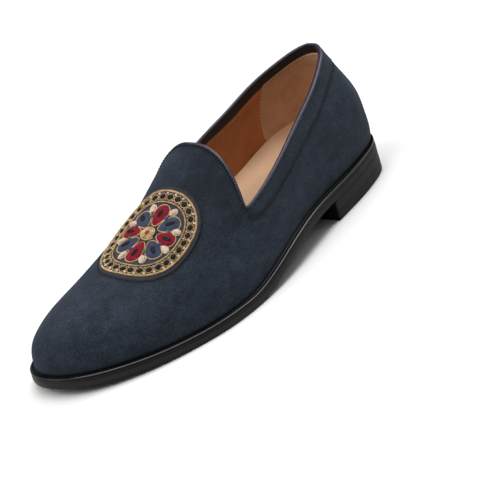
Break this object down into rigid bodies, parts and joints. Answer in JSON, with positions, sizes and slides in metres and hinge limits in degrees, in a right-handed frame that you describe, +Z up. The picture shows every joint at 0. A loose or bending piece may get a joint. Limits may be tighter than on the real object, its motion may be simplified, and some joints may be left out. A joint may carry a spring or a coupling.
{
  "type": "suede loafer",
  "caption": "Men's slip-on slipper loafer for the left foot: hollow suede upper with a round tongue and piped topline, oval badge on the vamp, welted sole and low stacked heel.",
  "frame": {"origin": "middle of the shoe's bounding box, on the floor", "axes": "+X from heel to toe, +Y to the outer side of the foot, +Z up"},
  "size_m": [0.3012, 0.1088, 0.0897],
  "materials": {
    "suede": "navy suede with a soft nap",
    "piping_leather": "dark navy satin leather",
    "insole_leather": "tan satin leather",
    "sole_leather": "black satin leather",
    "welt_leather": "black polished leather edge",
    "heel_leather": "black polished stacked leather",
    "heel_rubber": "black satin rubber",
    "badge_felt": "dark grey felt with embroidery"
  },
  "bodies": {
    "root": {"upper": "suede", "topline_piping": "piping_leather", "insole": "insole_leather", "outsole": "sole_leather", "welt": "welt_leather", "heel_block": "heel_leather", "heel_lift": "heel_rubber", "vamp_badge": "badge_felt"}
  },
  "joints": []
}
